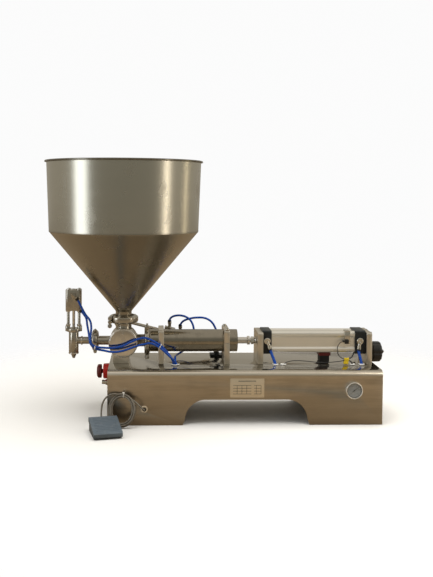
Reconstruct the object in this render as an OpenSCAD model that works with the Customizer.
// Semi-automatic piston liquid filler on a bench base.
// X runs along the machine, Y goes to the back, Z is up; the origin is the middle of the footprint.

/* [Base] */
// Length of the folded base
base_w = 733; // [600:1:900]
// Depth of the base, front to back
base_d = 250; // [200:1:320]
// Height of the deck
base_h = 145; // [110:1:180]
// Sheet thickness
sheet = 3; // [2:0.5:5]
// Outside radius of the two long folds
fold_r = 14; // [6:1:24]

/* [Hopper] */
// Radius of the bowl at the rim
bowl_r = 212.5; // [150:0.5:260]
// Height of the rim above the floor
rim_z = 702; // [560:1:820]
// Height where the straight wall meets the cone
cone_z = 508; // [440:1:600]
// Wall of the bowl
bowl_wall = 2; // [1:0.5:4]

/* [Metering] */
// Height of the pump axis above the floor
axis_z = 203; // [190:1:230]
// Outside radius of the metering barrel
barrel_r = 31; // [24:0.5:45]
// Inside radius of the metering barrel
bore_r = 28; // [20:0.5:42]
// Full stroke of the piston
stroke = 190; // [60:5:200]
// Gap between a shaft and its bore
fit = 0.05; // [0.01:0.01:0.1]

/* [Valve and nozzle] */
// Distance of the valve axis left of the middle
valve_off = 328.5; // [280:0.5:340]
// Radius of the valve housing
valve_r = 38; // [30:0.5:48]
// Distance of the nozzle left of the middle
nozzle_off = 467; // [430:1:520]
// Radius of the nozzle barrel
nozzle_r = 13.5; // [8:0.5:20]

/* [Pedal] */
// Width of the pedal
pedal_w = 74; // [60:1:100]
// Length of the pedal
pedal_l = 88; // [70:1:120]
// Turn of the pedal on the floor
pedal_turn = 13; // [0:1:40]

/* [Hidden] */
$fa = 6;
$fs = 1.2;

half_w = base_w / 2;
half_d = base_d / 2;
gap = 0.4;

// arch through the front and the rear
arch_x = 2;
arch_half = 107.5;
arch_r = 56;
arch_z = 12;
arch_foot = 169;

// places on the deck
vx = -valve_off;
nx = -nozzle_off;
grommet_y = -46;
grommet_x = [-185, 90.5, 112.5, 303, 329];
cable_hole = [-269, -half_d, 42.7];
gauge_x = 289.3;
gauge_z = 92.2;

// valve and joints above it
neck_r = 22;
neck_bore = 17;
joint_z = 264;
flange_r = 32;
clamp_r = 40.5;
cover_y = -46;
crank_pin = [-30, 50];
crank_y = 56;
rod_end_y = 66;
rod_slope = atan(0.25);
drive_pivot = 304;

// metering line, left to right
head_x = -290.5;
barrel_x0 = -257;
barrel_x1 = -12;
ring_x = -263;
bracket_front_x = -231.6;
bracket_rear_x = -50.8;
plate_t = 15;
plate_half = 45;
bracket_top = 238;
piston_x = -62;
piston_len = 36;
rod_r = 9;
air_rod_r = 8;
plate_left_x = 41.6;
plate_right_x = 343.4;
plate_top = 232;
cap_half = 32.5;
profile_x0 = 81.5;
profile_x1 = 314;
air_bore = 25;
core_half = 27;
lobe_at = 22;
lobe_r = 8;
air_piston_x = 284;
screw_z = axis_z - 31.5;
screw_r = 3;
carriage_x = 217;
carriage_len = 32;
wheel_x = 368;
wheel_r = 28.5;

// pedal, its lead and the coil against the front
pedal_at = [-366.75, -202, 0];
pedal_hinge = [40, 25.5];
lead_r = 2.25;
coil_at = [-327, -142.5, 45.2];
coil_rx = 31.5;
coil_rz = 38;
coil_wide = 11.6;
coil_deep = 9.4;
coil_lean = 12;
coil_yaw = -13;
lead_route = [[-378.3, -152, 10], [-379.6, -144.5, 11.5], [-380.8, -138, 16], [-381.5, -133.6, 22.5],
    [-381.8, -131.6, 31], [-381, -131, 46], [-378, -131, 61], [-371, -131.2, 74], [-361, -131.8, 82.5],
    [-349, -133, 86.5], [-338, -134.5, 86], [-329, -135.5, 82.5]];
panel_route = [[-319, -136, 82], [-309, -137.5, 77.5], [-298, -140.5, 71], [-287, -144, 63],
    [-278, -146.5, 55], [-272, -145.5, 48.5], [-269.5, -141, 44.5], [-269, -134.5, 42.9], [-269, -127.2, 42.7]];

// air tubes and wires
tube_r = 3;
big_tube_r = 4;
nozzle_route_a = [[-455, -27, 321], [-451, -27, 315], [-444, -28, 301], [-432, -31, 280], [-419, -38, 264],
    [-415, -46, 248], [-415.5, -53, 231], [-416.5, -57, 216], [-413, -59, 204], [-402, -60, 197],
    [-381, -60, 194], [-354, -61, 194], [-329, -61, 199], [-305, -59, 210], [-287, -57, 217],
    [-271, -56, 220], [-256, -55, 216], [-241, -54, 208], [-228, -53, 200], [-216, -52, 189],
    [-206, -50, 177], [-198, -48, 166], [-192, -46.5, 155], [-188.8, -46, 146], [-188.5, -46, 134]];
nozzle_route_b = [[-446, -10, 286], [-440, -13, 280], [-431, -20, 268], [-427, -33, 252], [-422, -46, 232],
    [-419, -51, 216], [-416, -53, 203], [-405, -54, 192], [-378, -60, 186], [-354, -64, 183],
    [-329, -64, 186], [-305, -63, 194], [-287, -62, 200], [-268, -61, 204], [-254, -60, 206],
    [-240, -59, 201], [-227, -58, 193], [-214, -57, 182], [-203, -55, 171], [-193, -51.5, 161],
    [-185.5, -47.5, 152], [-182, -46.2, 143], [-181.8, -46, 132]];
actuator_route_a = [[-199, 70, 246], [-197, 69, 253], [-190, 67, 259], [-179, 64, 262.5], [-166, 60, 263],
    [-153, 56, 260], [-142, 52, 253], [-135, 48, 243], [-131, 45, 230], [-130, 44, 214], [-133, 44, 198],
    [-140, 44, 184], [-150, 43, 173], [-161, 40, 165], [-171, 33, 160], [-178, 22, 158], [-182, 8, 158],
    [-184, -7, 159.5], [-185, -20, 159.5], [-185.2, -31, 156.5], [-185.2, -38, 150], [-185.2, -40.4, 141],
    [-185.2, -40.4, 134]];
actuator_route_b = [[-168, 70, 233], [-165, 69, 240], [-158, 67, 247], [-147, 64, 252], [-133, 60, 256],
    [-118, 56, 258], [-103, 52, 258], [-90, 50, 254], [-79, 49, 246], [-71, 49, 234], [-65, 49.5, 220],
    [-58, 51.5, 205], [-51, 54, 190], [-45, 57, 176], [-41, 60, 163], [-40, 62, 152], [-40, 62, 145.6]];
cylinder_route_a = [[77, -39.5, 183.6], [80, -41, 174], [86, -44, 158], [90, -46, 146], [90.5, -46, 134]];
cylinder_route_b = [[322.8, -39.5, 182.2], [323.5, -41, 173], [327, -44.5, 158], [329, -46, 146], [329, -46, 134]];
sensor_route = [[278, -38.5, 207], [270, -40, 203], [263.5, -41, 193], [262.5, -42, 181], [266, -43, 170],
    [272, -44, 163.5], [279, -44, 160]];
deck_route = [[279, -45, 156.5], [262, -44, 152], [236, -42.5, 149.5], [205, -42, 150], [175, -42, 153],
    [150, -43, 154.5], [130, -44.5, 153], [117, -46, 148], [112.5, -46, 140]];
cap_route = [[309, -37.5, 176], [306, -40, 168], [300, -42, 162], [294, -44, 160.5]];
loop_route = [[294, -46, 155.5], [299, -46, 153.5], [302.5, -46, 149], [303, -46, 140]];

// unit vector
function unit(v) = v / norm(v);

// point on the smooth curve between p1 and p2
function curve(p0, p1, p2, p3, t) =
    0.5 * (2 * p1 + (p2 - p0) * t + (2 * p0 - 5 * p1 + 4 * p2 - p3) * t * t
    + (3 * p1 - p0 - 3 * p2 + p3) * t * t * t);

// a smooth route through the points, with steps pieces between neighbours
function smooth(pts, steps) = let (last = len(pts) - 1) concat(
    [for (i = [0:last - 1]) for (k = [0:steps - 1])
        curve(pts[max(i - 1, 0)], pts[i], pts[i + 1], pts[min(i + 2, last)], k / steps)],
    [pts[last]]);

// direction of the route at each point
function headings(p) = [for (i = [0:len(p) - 1]) unit(p[min(i + 1, len(p) - 1)] - p[max(i - 1, 0)])];

// side directions carried along the route without twist
function carried(t, side, i = 0) = i == len(t) ? [] :
    let (now = unit(side - (side * t[i]) * t[i])) concat([now], carried(t, now, i + 1));

// solid tube along a route
module tube(pts, r, steps = 2, sides = 8) {
    p = smooth(pts, steps);
    t = headings(p);
    first = abs(t[0].z) < 0.9 ? [0, 0, 1] : [1, 0, 0];
    n = carried(t, first);
    last = (len(p) - 1) * sides;
    rings = [for (i = [0:len(p) - 1]) for (k = [0:sides - 1])
        p[i] + r * (cos(360 * k / sides) * n[i] + sin(360 * k / sides) * cross(t[i], n[i]))];
    walls = [for (i = [0:len(p) - 2]) for (k = [0:sides - 1]) for (half = [0, 1])
        let (a = i * sides + k, b = i * sides + (k + 1) % sides)
        half == 0 ? [a, a + sides, b + sides] : [a, b + sides, b]];
    ends = [[for (k = [0:sides - 1]) k], [for (k = [sides - 1:-1:0]) last + k]];
    polyhedron(points = rings, faces = concat(walls, ends), convexity = 10);
}

// cylinder along X from x0 to x1
module along_x(x0, x1, r, y = 0, z = 0) {
    translate([x0, y, z])
        rotate([0, 90, 0])
            cylinder(r = r, h = x1 - x0);
}

// cylinder along Y from y0 to y1
module along_y(y0, y1, r, x = 0, z = 0) {
    translate([x, y0, z])
        rotate([-90, 0, 0])
            cylinder(r = r, h = y1 - y0);
}

// cylinder along Z from z0 to z1
module along_z(z0, z1, r, x = 0, y = 0) {
    translate([x, y, z0])
        cylinder(r = r, h = z1 - z0);
}

// box between two corners
module block(low, high) {
    translate(low)
        cube(high - low);
}

// box with its edges along X rounded
module soft_block(low, high, r) {
    block(low + [0, r, 0], high - [0, r, 0]);
    block(low + [0, 0, r], high - [0, 0, r]);
    for (y = [low.y + r, high.y - r])
        for (z = [low.z + r, high.z - r])
            along_x(low.x, high.x, r, y, z);
}

// the inside of the base, grown outwards by out
module base_form(x0, x1, in) {
    r = fold_r - in;
    block([x0, in - half_d, -1], [x1, half_d - in, base_h - fold_r]);
    block([x0, fold_r - half_d, base_h - fold_r - 1], [x1, half_d - fold_r, base_h - in]);
    for (side = [-1, 1])
        along_x(x0, x1, r, side * (half_d - fold_r), base_h - fold_r);
}

module arch_cut() {
    block([arch_x - arch_half, -half_d - 1, -1], [arch_x + arch_half, half_d + 1, arch_z + arch_r]);
    for (side = [-1, 1])
        along_y(-half_d - 1, half_d + 1, arch_r, arch_x + side * arch_half, arch_z);
    translate([arch_x, half_d + 1, 0])
        rotate([90, 0, 0])
            linear_extrude(base_d + 2)
                polygon([[-arch_foot - 1, -1.5], [-arch_half - arch_r, arch_z + 3],
                    [arch_half + arch_r, arch_z + 3], [arch_foot + 1, -1.5]]);
}

module base_shell() {
    color([0.62, 0.57, 0.48])
        difference() {
            intersection() {
                base_form(-half_w, half_w, 0);
                block([-half_w, -half_d, 0], [half_w, half_d, base_h]);
            }
            base_form(-half_w - 1, half_w + 1, sheet);
            arch_cut();
            for (x = grommet_x)
                along_z(base_h - sheet - 1, base_h + 1, x < 0 ? 10.4 : 6.5, x, grommet_y);
            along_y(-half_d - 1, sheet - half_d + 1, 8, cable_hole.x, cable_hole.z);
            along_y(-half_d - 1, sheet - half_d + 1, 21, gauge_x, gauge_z);
        }
}

// sheet that closes one end
module end_sheet(x0) {
    difference() {
        intersection() {
            base_form(x0, x0 + sheet, sheet + 0.05);
            block([x0, -half_d, 0], [x0 + sheet, half_d, base_h]);
        }
        children();
    }
}

module end_panel_left() {
    color([0.6, 0.55, 0.46])
        end_sheet(-half_w) {
            along_x(-half_w - 1, sheet - half_w + 1, 11, 0, 117);
            along_x(-half_w - 1, sheet - half_w + 1, 7, 4, 85);
        }
}

module end_panel_right() {
    color([0.6, 0.55, 0.46])
        end_sheet(half_w - sheet)
            for (y = [-60:20:60])
                block([half_w - sheet - 1, y - 3, 55], [half_w + 1, y + 3, 95]);
}

module nameplate() {
    color([0.66, 0.62, 0.54]) {
        block([-42, -half_d - 1.2, 74], [49, -half_d, 125]);
        for (x = [-38, 45])
            for (z = [78, 121])
                along_y(-half_d - 2, -half_d - 1, 1.8, x, z);
    }
}

module gauge_case() {
    color([0.8, 0.8, 0.8])
        difference() {
            union() {
                along_y(-half_d - 7, -half_d, 22.8, gauge_x, gauge_z);
                along_y(-half_d - 1, -half_d + 26, 20.5, gauge_x, gauge_z);
                along_y(-half_d + 25, -half_d + 40, 6, gauge_x, gauge_z);
            }
            along_y(-half_d - 8, -half_d - 2, 20, gauge_x, gauge_z);
            along_y(-half_d - 3, -half_d + 3, 0.9, gauge_x, gauge_z);
        }
}

module gauge_needle() {
    color([0.1, 0.1, 0.1]) {
        along_y(-half_d - 3.4, -half_d - 2.6, 2.2, gauge_x, gauge_z);
        along_y(-half_d - 2.7, -half_d + 2, 0.85, gauge_x, gauge_z);
        translate([gauge_x, -half_d - 3.3, gauge_z])
            rotate([0, -38, 0])
                block([-6, 0, -0.6], [16, 0.6, 0.6]);
    }
}

module gauge_glass() {
    color([0.85, 0.9, 0.95, 0.3])
        along_y(-half_d - 6.2, -half_d - 4.8, 20, gauge_x, gauge_z);
}

module cable_grommet() {
    color([0.75, 0.66, 0.52])
        difference() {
            union() {
                along_y(-half_d - 2.2, -half_d, 9.6, cable_hole.x, cable_hole.z);
                along_y(-half_d - 1, -half_d + 6, 8, cable_hole.x, cable_hole.z);
            }
            along_y(-half_d - 3, -half_d + 7, 5.3, cable_hole.x, cable_hole.z);
        }
}

module deck_grommets() {
    color([0.92, 0.92, 0.9])
        for (x = grommet_x)
            difference() {
                union() {
                    along_z(base_h, base_h + 2, x < 0 ? 12 : 8.5, x, grommet_y);
                    along_z(base_h - sheet - 3, base_h + 1, x < 0 ? 10.4 : 6.5, x, grommet_y);
                }
                along_z(base_h - sheet - 4, base_h + 3, x < 0 ? 9 : 5, x, grommet_y);
            }
}

module estop_body() {
    color([0.7, 0.06, 0.04]) {
        difference() {
            along_x(-half_w - 18, -half_w, 21.5, 0, 117);
            along_x(-half_w - 19, -half_w - 12, 13.5, 0, 117);
            along_x(-half_w - 13, -half_w + 1, 6.05, 0, 117);
        }
        difference() {
            along_x(-half_w - 0.5, -half_w + 34, 11, 0, 117);
            along_x(-half_w - 1, -half_w + 35, 6.05, 0, 117);
        }
    }
}

module estop_button() {
    color([0.45, 0.03, 0.03]) {
        along_x(-half_w - 36, -half_w - 22, 19, 0, 117);
        along_x(-half_w - 23, -half_w + 20, 6, 0, 117);
    }
}

module air_inlet() {
    color([0.78, 0.76, 0.72])
        difference() {
            union() {
                along_x(-half_w - 8, -half_w, 10, 4, 85);
                along_x(-half_w - 22, -half_w - 7, 6, 4, 85);
                along_x(-half_w - 12, -half_w - 8.5, 8, 4, 85);
                along_x(-half_w - 1, -half_w + 24, 7, 4, 85);
            }
            along_x(-half_w - 23, -half_w + 25, 3.5, 4, 85);
        }
}

module valve_stand() {
    color([0.66, 0.61, 0.52])
        difference() {
            block([vx - 28, -34, base_h], [vx + 16, 34, axis_z - valve_r + 6]);
            along_y(-35, 35, valve_r, vx, axis_z);
        }
}

// housing with its two side branches and the neck to the hopper
module valve_body() {
    color([0.68, 0.63, 0.54])
        difference() {
            union() {
                along_y(-34, 34, valve_r, vx, axis_z);
                along_z(axis_z, joint_z, neck_r, vx);
                along_z(joint_z - 5, joint_z, flange_r, vx);
                along_x(-403, vx, 12.5, 0, axis_z);
                along_x(-407, -402.3, 25, 0, axis_z);
                along_x(vx, head_x, 20, 0, axis_z);
            }
            along_y(-35, 29, 27, vx, axis_z);
            along_y(28, 35, 7 + fit, vx, axis_z);
            along_z(axis_z, joint_z + 1, neck_bore, vx);
            along_x(-408, vx, 9.5, 0, axis_z);
            along_x(vx, head_x + 1, 13, 0, axis_z);
        }
}

module valve_cover() {
    color([0.5, 0.48, 0.46]) {
        along_y(cover_y, -34, 40, vx, axis_z);
        for (a = [40, 140, 220, 320])
            along_y(cover_y - 3, cover_y, 3, vx + 34 * cos(a), axis_z + 34 * sin(a));
        along_y(cover_y - 5, cover_y, 2.5, vx, axis_z + 27);
    }
}

// turning plug with an L-shaped way through it and a stem to the crank
module valve_plug() {
    color([0.75, 0.73, 0.7]) {
        difference() {
            along_y(-33.5, 28.5, 27 - fit, vx, axis_z);
            along_z(axis_z, axis_z + 28, 12.5, vx);
            along_x(vx, vx + 28, 12.5, 0, axis_z);
            translate([vx, 0, axis_z])
                sphere(r = 12.5, $fn = 48);
        }
        along_y(27.5, crank_y + 10, 7, vx, axis_z);
    }
}

module valve_crank() {
    reach = norm(crank_pin);
    color([0.6, 0.58, 0.55])
        translate([vx, crank_y, axis_z])
            rotate([0, atan2(crank_pin.x, crank_pin.y), 0]) {
                difference() {
                    union() {
                        along_y(0, 6, 13);
                        block([-5.5, 0, 8], [5.5, 6, reach]);
                        along_y(0, 6, 8.5, 0, reach);
                    }
                    along_y(-1, 7, 7.02);
                }
                along_y(6, rod_end_y - crank_y - 0.5, 4, 0, reach);
            }
}

module hopper_shell() {
    color([0.72, 0.68, 0.6])
        translate([vx, 0, 0])
            rotate_extrude($fn = 120)
                polygon([[bowl_r - 6.5, cone_z], [bowl_r, rim_z - 5], [bowl_r + 5.5, rim_z - 4],
                    [bowl_r + 5.5, rim_z], [bowl_r - bowl_wall, rim_z], [bowl_r - 6.5 - bowl_wall, cone_z]]);
}

module hopper_cone() {
    color([0.7, 0.66, 0.58])
        translate([vx, 0, 0])
            rotate_extrude($fn = 120)
                polygon([[flange_r, joint_z + 0.1], [flange_r, joint_z + 5], [neck_r, joint_z + 6],
                    [neck_r, 285], [bowl_r - 6.5, cone_z], [bowl_r - 6.5 - bowl_wall, cone_z],
                    [neck_r - bowl_wall, 286], [neck_bore + 3, 284], [neck_bore, joint_z + 8],
                    [neck_bore, joint_z + 0.1]]);
}

// ring clamp over two flanges; t0 and t1 are the radii its two lips leave free
module ring_clamp(r, flange, t0, t1, half) {
    difference() {
        cylinder(r = r, h = 2 * half, center = true);
        cylinder(r = flange + gap, h = 2 * half - 7, center = true);
        translate([0, 0, -half - 1])
            cylinder(r = t0, h = half + 1);
        cylinder(r = t1, h = half + 1);
    }
}

module hopper_clamp() {
    color([0.7, 0.67, 0.62]) {
        translate([vx, 0, joint_z])
            ring_clamp(clamp_r, flange_r, neck_r + 1.5, neck_r + 1.5, 11);
        translate([vx - 34, -26, joint_z]) {
            block([-8, -8, -9], [3, 3, 9]);
            translate([-3, -3, -22])
                cylinder(r = 3, h = 14);
            translate([-3, -3, -20])
                cylinder(r = 6, h = 6, $fn = 6);
        }
    }
}

module outlet_clamp() {
    color([0.7, 0.67, 0.62]) {
        translate([-407, 0, axis_z])
            rotate([0, 90, 0])
                ring_clamp(28, 25, 11, 13.5, 8.5);
        along_z(axis_z - 34, axis_z - 27, 4, -407, -8);
        along_z(axis_z + 26, axis_z + 33, 5, -407, -8);
    }
}

module nozzle_body() {
    color([0.7, 0.66, 0.58])
        difference() {
            union() {
                along_z(167, 229, nozzle_r, nx);
                translate([nx, 0, 153.6])
                    cylinder(r1 = 3.2, r2 = 8.5, h = 13.4);
                along_x(nx, -411, 10, 0, axis_z);
                along_x(-411.7, -407.1, 25, 0, axis_z);
            }
            along_z(172, 224, 10, nx);
            along_z(223, 230, 4 + fit, nx);
            along_z(152, 173, 2.2, nx);
            along_x(nx, -406, 7, 0, axis_z);
        }
}

module nozzle_yoke() {
    color([0.66, 0.63, 0.56]) {
        difference() {
            union() {
                along_z(229, 237, 20, nx);
                for (side = [-1, 1])
                    along_z(229, 244, 6.5, nx + side * 16.5);
            }
            along_z(228, 245, 5, nx);
        }
        for (side = [-1, 1])
            along_z(244, 288, 4, nx + side * 15);
    }
}

module nozzle_cylinder() {
    color([0.72, 0.7, 0.66]) {
        difference() {
            union() {
                block([nx - 21, -14, 288], [nx + 21, 14, 345]);
                block([nx - 14, -21, 288], [nx + 14, 21, 345]);
                for (sx = [-14, 14])
                    for (sy = [-14, 14])
                        along_z(288, 345, 7, nx + sx, sy);
            }
            along_z(297, 338, 12, nx);
            along_z(287, 298, 4 + fit, nx);
        }
        along_y(-32, -20, 6, nx + 2, 331);
        translate([nx + 2, -27, 331])
            rotate([0, 135, 0])
                cylinder(r = 4.5, h = 14);
        translate([nx + 14, -10, 294])
            rotate([0, 135, 0])
                cylinder(r = 4.5, h = 10.5);
    }
}

module nozzle_needle() {
    color([0.78, 0.76, 0.72]) {
        along_z(172.3, 300, 4, nx);
        along_z(298, 308, 12 - fit, nx);
        along_z(167, 172.5, 2.1, nx);
        translate([nx, 0, 160])
            cylinder(r1 = 1, r2 = 2.1, h = 7.2);
    }
}

module barrel() {
    color([0.7, 0.66, 0.58])
        difference() {
            union() {
                along_x(ring_x + 1, barrel_x1, barrel_r, 0, axis_z);
                along_x(ring_x + 0.1, barrel_x0 - 2.3, 36, 0, axis_z);
            }
            along_x(ring_x - 1, barrel_x1 + 1, bore_r, 0, axis_z);
        }
}

module barrel_head() {
    color([0.2, 0.19, 0.18])
        difference() {
            union() {
                along_x(head_x + 0.1, ring_x - 3, 17, 0, axis_z);
                along_x(ring_x - 3.7, ring_x, 36, 0, axis_z);
            }
            along_x(head_x - 1, ring_x + 1, 13, 0, axis_z);
        }
}

module barrel_clamp() {
    color([0.66, 0.62, 0.55]) {
        translate([ring_x, 0, axis_z])
            rotate([0, 90, 0])
                ring_clamp(41, 36, 18.5, barrel_r + gap, 7.5);
        along_z(axis_z + 39, axis_z + 50, 4, ring_x, -12);
        translate([ring_x - 6, -20, axis_z + 34])
            cube([12, 10, 12]);
        along_z(axis_z - 50, axis_z - 38, 6, ring_x, -10);
    }
}

// upright plate between two heights
module upright(x, z0, z1) {
    block([x, -plate_half, z0], [x + plate_t, plate_half, z1 - 6]);
    block([x, 6 - plate_half, z1 - 7], [x + plate_t, plate_half - 6, z1]);
    for (side = [-1, 1])
        along_x(x, x + plate_t, 6, side * (plate_half - 6), z1 - 6);
}

module bracket_front() {
    color([0.72, 0.66, 0.56])
        difference() {
            upright(bracket_front_x, base_h, bracket_top);
            along_x(bracket_front_x - 1, bracket_front_x + plate_t + 1, barrel_r + fit, 0, axis_z);
        }
}

module bracket_rear() {
    color([0.72, 0.66, 0.56])
        difference() {
            block([bracket_rear_x, -plate_half, base_h], [bracket_rear_x + plate_t, plate_half, axis_z - 0.3]);
            along_x(bracket_rear_x - 1, bracket_rear_x + plate_t + 1, barrel_r + fit, 0, axis_z);
            for (side = [-1, 1])
                along_z(axis_z - 30, axis_z, 3.1, bracket_rear_x + plate_t / 2, side * 38);
        }
}

module bracket_cap() {
    color([0.72, 0.66, 0.56])
        difference() {
            union() {
                upright(bracket_rear_x, axis_z + 0.3, bracket_top);
                for (side = [-1, 1]) {
                    along_z(bracket_top - 1, bracket_top + 4, 5, bracket_rear_x + plate_t / 2, side * 38);
                    along_z(axis_z - 20, axis_z + 1, 3, bracket_rear_x + plate_t / 2, side * 38);
                }
            }
            along_x(bracket_rear_x - 1, bracket_rear_x + plate_t + 1, barrel_r + fit, 0, axis_z);
        }
}

// ring groove or ring at x on the metering piston
module seal_ring(x, outer, inner) {
    difference() {
        along_x(x, x + 4, outer, 0, axis_z);
        along_x(x - 1, x + 5, inner, 0, axis_z);
    }
}

module piston() {
    color([0.8, 0.78, 0.74])
        difference() {
            along_x(piston_x, piston_x + piston_len, bore_r - gap, 0, axis_z);
            for (x = [piston_x + 5, piston_x + 27])
                seal_ring(x, bore_r + 1, bore_r - 3);
        }
}

module piston_seals() {
    color([0.9, 0.88, 0.82])
        for (x = [piston_x + 5, piston_x + 27])
            seal_ring(x, bore_r - fit, bore_r - 3);
}

// rod from the metering piston to the air piston, with its coupling and nuts
module piston_rod() {
    color([0.76, 0.73, 0.68]) {
        along_x(piston_x + piston_len, 17, rod_r, 0, axis_z);
        along_x(17, 24, 12, 0, axis_z);
        along_x(24, 27, 6, 0, axis_z);
        translate([27, 0, axis_z])
            rotate([0, 90, 0])
                cylinder(r = 11, h = 8, $fn = 6);
        along_x(35, air_piston_x, air_rod_r, 0, axis_z);
    }
}

// holes in an end plate for the rod and the adjusting screw
module end_plate(x, rod_hole) {
    difference() {
        upright(x, base_h, plate_top);
        if (rod_hole)
            along_x(x - 1, x + plate_t + 1, 13, 0, axis_z);
        along_x(x - 1, x + plate_t + 1, screw_r + fit, 0, screw_z);
    }
}

module plate_left() {
    color([0.72, 0.66, 0.56])
        end_plate(plate_left_x, true);
}

module plate_right() {
    color([0.72, 0.66, 0.56])
        end_plate(plate_right_x, false);
}

// square end cap of the air cylinder
module end_cap(x0, x1, rod_hole) {
    difference() {
        soft_block([x0, -cap_half, axis_z - cap_half], [x1, cap_half, axis_z + cap_half], 5);
        if (rod_hole)
            along_x(x0 - 1, x1 + 1, air_rod_r + fit, 0, axis_z);
        along_x(x0 - 1, x1 + 1, 4.5, 0, screw_z);
        block([x0 - 1, -4.5, axis_z - cap_half - 1], [x1 + 1, 4.5, screw_z]);
    }
}

module cap_left() {
    color([0.08, 0.08, 0.09])
        end_cap(plate_left_x + plate_t, profile_x0, true);
}

module cap_right() {
    color([0.08, 0.08, 0.09])
        end_cap(profile_x1, plate_right_x, false);
}

module cylinder_profile() {
    color([0.78, 0.74, 0.68])
        difference() {
            union() {
                block([profile_x0, -core_half, axis_z - core_half], [profile_x1, core_half, axis_z + core_half]);
                for (sy = [-lobe_at, lobe_at])
                    for (sz = [-lobe_at, lobe_at])
                        along_x(profile_x0, profile_x1, lobe_r, sy, axis_z + sz);
            }
            along_x(profile_x0 - 1, profile_x1 + 1, air_bore, 0, axis_z);
        }
}

module air_piston() {
    color([0.6, 0.6, 0.6])
        along_x(air_piston_x, air_piston_x + 24, air_bore - fit, 0, axis_z);
}

// banjo fitting on a cap, turned by lean to the side its tube leaves
module elbow(x, lean) {
    along_y(-cap_half - 11, -cap_half, 9, x, axis_z + 5);
    translate([x, -cap_half - 7, axis_z + 5])
        rotate([0, 180 - lean, 0]) {
            cylinder(r = 4.8, h = 26);
            translate([0, 0, 13])
                cylinder(r = 6.4, h = 10);
        }
}

module cylinder_fittings() {
    color([0.8, 0.78, 0.76]) {
        elbow(68.1, 20);
        elbow(326, -7);
    }
}

module reed_switch() {
    color([0.82, 0.82, 0.8]) {
        block([285, -34.5, axis_z - 4], [300, -30.4, axis_z + 30.8]);
        block([285, -34.5, axis_z + 30.3], [300, -10, axis_z + 32.4]);
        block([284, -40, axis_z - 3], [295, -34, axis_z + 9]);
        along_x(277.5, 284.5, 3, -37.5, axis_z + 4);
        along_y(-37, -34, 2.5, 297.5, axis_z + 3);
    }
}

// block that the adjusting screw moves under the cylinder
module stroke_carriage() {
    color([0.35, 0.1, 0.07])
        difference() {
            union() {
                block([carriage_x + 3, -16, base_h + 0.6], [carriage_x + carriage_len - 3, 16, 163]);
                block([carriage_x, -18, 163], [carriage_x + carriage_len, 18, axis_z - 30.6]);
                block([carriage_x, -9, axis_z - 31], [carriage_x + carriage_len, 9, axis_z - 27.4]);
            }
            along_x(carriage_x - 1, carriage_x + carriage_len + 1, screw_r + fit, 0, screw_z);
        }
}

module stroke_screw() {
    color([0.7, 0.7, 0.7]) {
        along_x(plate_left_x + 2, wheel_x + 36, screw_r, 0, screw_z);
        along_x(plate_right_x + plate_t + 0.4, wheel_x, 7, 0, screw_z);
    }
}

module handwheel() {
    color([0.04, 0.04, 0.04])
        difference() {
            union() {
                along_x(wheel_x, wheel_x + 22, wheel_r, 0, screw_z);
                translate([wheel_x + 22, 0, screw_z])
                    rotate([0, 90, 0])
                        cylinder(r1 = wheel_r, r2 = wheel_r - 5, h = 4);
                along_x(wheel_x + 25, wheel_x + 34, 6, 0, screw_z);
            }
            for (a = [0:60:300])
                along_x(wheel_x - 1, wheel_x + 27, 5, 31 * cos(a), screw_z + 31 * sin(a));
            along_x(wheel_x - 1, wheel_x + 37, screw_r + 0.02, 0, screw_z);
        }
}

module cable_tag() {
    color([0.95, 0.8, 0.05])
        translate([286.5, -45, base_h + 0.2])
            rotate([0, 0, 8]) {
                block([-7.5, -4, 0], [6, 4, 9]);
                block([-6, -4, 8.5], [7.5, 4, 18]);
            }
}

// parts of the valve drive lie along its own line, x from the crank pin
module on_drive_line() {
    translate([vx + crank_pin.x, 0, axis_z + crank_pin.y])
        rotate([0, rod_slope, 0])
            children();
}

module actuator_body() {
    color([0.74, 0.71, 0.66]) {
        on_drive_line()
            difference() {
                union() {
                    along_x(150, 288, 13, 71);
                    block([148, 56, -14], [178, 86, 14]);
                    block([266, 57, -13], [290, 85, 13]);
                    block([289, 66, -7], [drive_pivot + 7, 76, 7]);
                }
                along_x(152, 262, 10.5, 71);
                along_x(147, 153, 4.5 + fit, 71);
                along_y(65, 77, 4.05, drive_pivot, 0);
            }
        along_z(225.8, 239, 4.5, -199, 71);
        along_z(238, 244, 5.5, -199, 71);
        along_z(218, 226, 4.5, -168, 71);
        along_z(225, 231, 5.5, -168, 71);
    }
}

module actuator_rod() {
    color([0.78, 0.75, 0.7])
        on_drive_line() {
            along_x(8, 155, 4.5, 71);
            along_x(154, 164, 10.5 - fit, 71);
            difference() {
                union() {
                    along_y(rod_end_y, rod_end_y + 10, 10, 0, 0);
                    along_x(6, 24, 6, 71);
                }
                along_y(rod_end_y - 1, rod_end_y + 11, 5, 0, 0);
            }
        }
}

module actuator_mount() {
    color([0.66, 0.62, 0.55]) {
        block([-82, 52, base_h], [-46, 90, base_h + 6]);
        for (y = [57, 79])
            block([-70, y, base_h + 5], [-57, y + 6, 186]);
        on_drive_line()
            along_y(56, 86, 4, drive_pivot, 0);
    }
}

module nozzle_tubes() {
    color([0, 0.2, 0.6]) {
        tube(nozzle_route_a, tube_r);
        tube(nozzle_route_b, tube_r);
    }
}

module actuator_tubes() {
    color([0, 0.2, 0.6]) {
        tube(actuator_route_a, tube_r);
        tube(actuator_route_b, tube_r);
    }
}

module cylinder_tubes() {
    color([0, 0.25, 0.65]) {
        tube(cylinder_route_a, big_tube_r);
        tube(cylinder_route_b, big_tube_r);
    }
}

module sensor_wires() {
    color([0.2, 0.2, 0.2]) {
        tube(sensor_route, 1.1);
        tube(deck_route, 1.1);
        tube(cap_route, 1.8);
        tube(loop_route, 1.8);
    }
}

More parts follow.
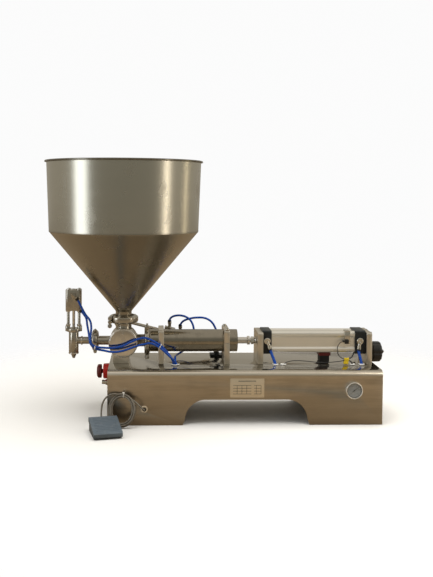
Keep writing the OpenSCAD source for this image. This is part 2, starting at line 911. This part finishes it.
// the pedal stands at its own place and turn
module on_pedal() {
    translate(pedal_at)
        rotate([0, 0, pedal_turn])
            children();
}

// slice across the pedal with its outline in length and height
module pedal_slice(width, outline) {
    translate([-width / 2, 0, 0])
        rotate([90, 0, 90])
            linear_extrude(width)
                polygon(outline);
}

module pedal_base() {
    color([0.1, 0.11, 0.12])
        on_pedal() {
            pedal_slice(pedal_w - 4, [[7 - pedal_l / 2, 0], [pedal_l / 2, 0], [pedal_l / 2, 20],
                [pedal_l / 2 - 8, 18], [7 - pedal_l / 2, 2.5]]);
            pedal_slice(38, [[35.5, 15], [43.5, 15], [43.5, 28.5], [35.5, 28.5]]);
            along_x(-34, 34, 2, pedal_hinge.x, pedal_hinge.y);
            along_y(pedal_l / 2 - 1, pedal_l / 2 + 7.3, 4, 0, 10);
        }
}

module pedal_treadle() {
    color([0.3, 0.36, 0.41])
        on_pedal()
            difference() {
                pedal_slice(pedal_w, [[4.5 - pedal_l / 2, 9], [4.5 - pedal_l / 2, 5], [-pedal_l / 2, 5],
                    [-pedal_l / 2, 14], [3 - pedal_l / 2, 17],
                    [pedal_l / 2 - 4, 35.5], [pedal_l / 2, 33], [pedal_l / 2, 23], [pedal_l / 2 - 8, 22.4],
                    [pedal_l / 2 - 18, 18.5]]);
                block([-19.5, 34.5, 15], [19.5, 45, 30]);
                along_x(-35, 35, 2 + fit, pedal_hinge.x, pedal_hinge.y);
            }
}

module pedal_lead() {
    color([0.3, 0.3, 0.29])
        tube(lead_route, lead_r, 3);
}

module pedal_coil() {
    color([0.32, 0.32, 0.31])
        translate(coil_at)
            rotate([0, 0, coil_yaw])
                rotate([90 - coil_lean, 0, 0])
                    scale([1, coil_rz / coil_rx, 1])
                        rotate_extrude($fn = 48)
                            translate([coil_rx, 0])
                                square([coil_wide, coil_deep], center = true);
}

module panel_lead() {
    color([0.3, 0.3, 0.29])
        tube(panel_route, lead_r, 3);
}

module coil_tie() {
    color([0.85, 0.82, 0.75])
        translate([-324, -135, 90])
            block([-3, -4, 0], [3, 4, 2.5]);
}

// air valves under the deck
module solenoid_bank() {
    color([0.55, 0.55, 0.56]) {
        block([-230, 30, 118], [-150, 80, 141.8]);
        for (x = [-225, -196, -167])
            block([x, 34, 84], [x + 16, 76, 118]);
    }
}

base_shell();
end_panel_left();
end_panel_right();
nameplate();
gauge_case();
gauge_needle();
gauge_glass();
cable_grommet();
deck_grommets();
estop_body();
estop_button();
air_inlet();
valve_stand();
valve_body();
valve_cover();
valve_plug();
valve_crank();
hopper_shell();
hopper_cone();
hopper_clamp();
outlet_clamp();
nozzle_body();
nozzle_yoke();
nozzle_cylinder();
nozzle_needle();
barrel();
barrel_head();
barrel_clamp();
bracket_front();
bracket_rear();
bracket_cap();
piston();
piston_seals();
piston_rod();
plate_left();
plate_right();
cap_left();
cap_right();
cylinder_profile();
air_piston();
cylinder_fittings();
reed_switch();
stroke_carriage();
stroke_screw();
handwheel();
cable_tag();
actuator_body();
actuator_rod();
actuator_mount();
nozzle_tubes();
actuator_tubes();
cylinder_tubes();
sensor_wires();
pedal_base();
pedal_treadle();
pedal_lead();
pedal_coil();
panel_lead();
coil_tie();
solenoid_bank();
